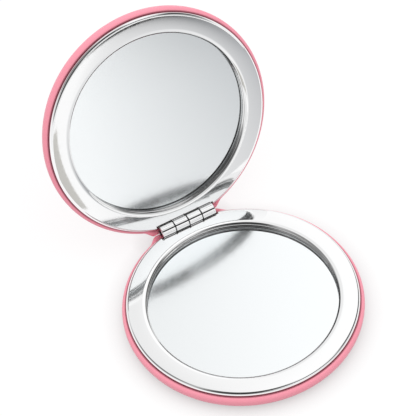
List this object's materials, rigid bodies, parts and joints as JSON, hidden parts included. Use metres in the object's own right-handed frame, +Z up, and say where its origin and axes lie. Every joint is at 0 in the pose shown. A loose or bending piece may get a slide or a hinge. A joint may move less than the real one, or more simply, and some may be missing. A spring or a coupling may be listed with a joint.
{
  "type": "compact mirror",
  "caption": "Round folding compact mirror with padded pink covers, wide plated frames around flat round mirrors, and a barrel hinge.",
  "frame": {"origin": "centre of the flat face that the base stands on", "axes": "+Z up, +Y from the base towards the hinge, +X along the hinge axis, to the right seen from the front"},
  "size_m": [0.07, 0.0987, 0.069],
  "materials": {
    "pink_cover": "smooth satin pink leather-look skin",
    "foam": "soft foam",
    "tray_plastic": "moulded plastic",
    "plated_frame": "bright chrome plate",
    "mirror_glass": "float glass, seen with its silvering behind it",
    "mirror_silver": "silvered and painted back",
    "adhesive": "white double-sided tape",
    "magnet": "nickel-plated magnet",
    "plated_hinge": "bright chrome plate",
    "steel": "bright steel"
  },
  "bodies": {
    "base": {"base_cover": "pink_cover", "base_pad": "foam", "base_tray": "tray_plastic", "base_frame": "plated_frame", "base_mirror_glass": "mirror_glass", "base_mirror_backing": "mirror_silver", "base_mirror_tape": "adhesive", "base_magnet": "magnet", "base_hinge_leaf": "plated_hinge", "base_hinge_screws": "steel", "hinge_pin": "steel"},
    "lid": {"lid_cover": "pink_cover", "lid_pad": "foam", "lid_tray": "tray_plastic", "lid_frame": "plated_frame", "lid_mirror_glass": "mirror_glass", "lid_mirror_backing": "mirror_silver", "lid_mirror_tape": "adhesive", "lid_magnet": "magnet", "lid_hinge_leaf": "plated_hinge", "lid_hinge_screws": "steel"}
  },
  "joints": [
    {"name": "lid_hinge", "type": "hinge", "parent": "base", "child": "lid", "pos_m": [0, 0.0332, 0.0068], "axis": [-1, 0, 0], "range_deg": [-112, 3.5]}
  ]
}
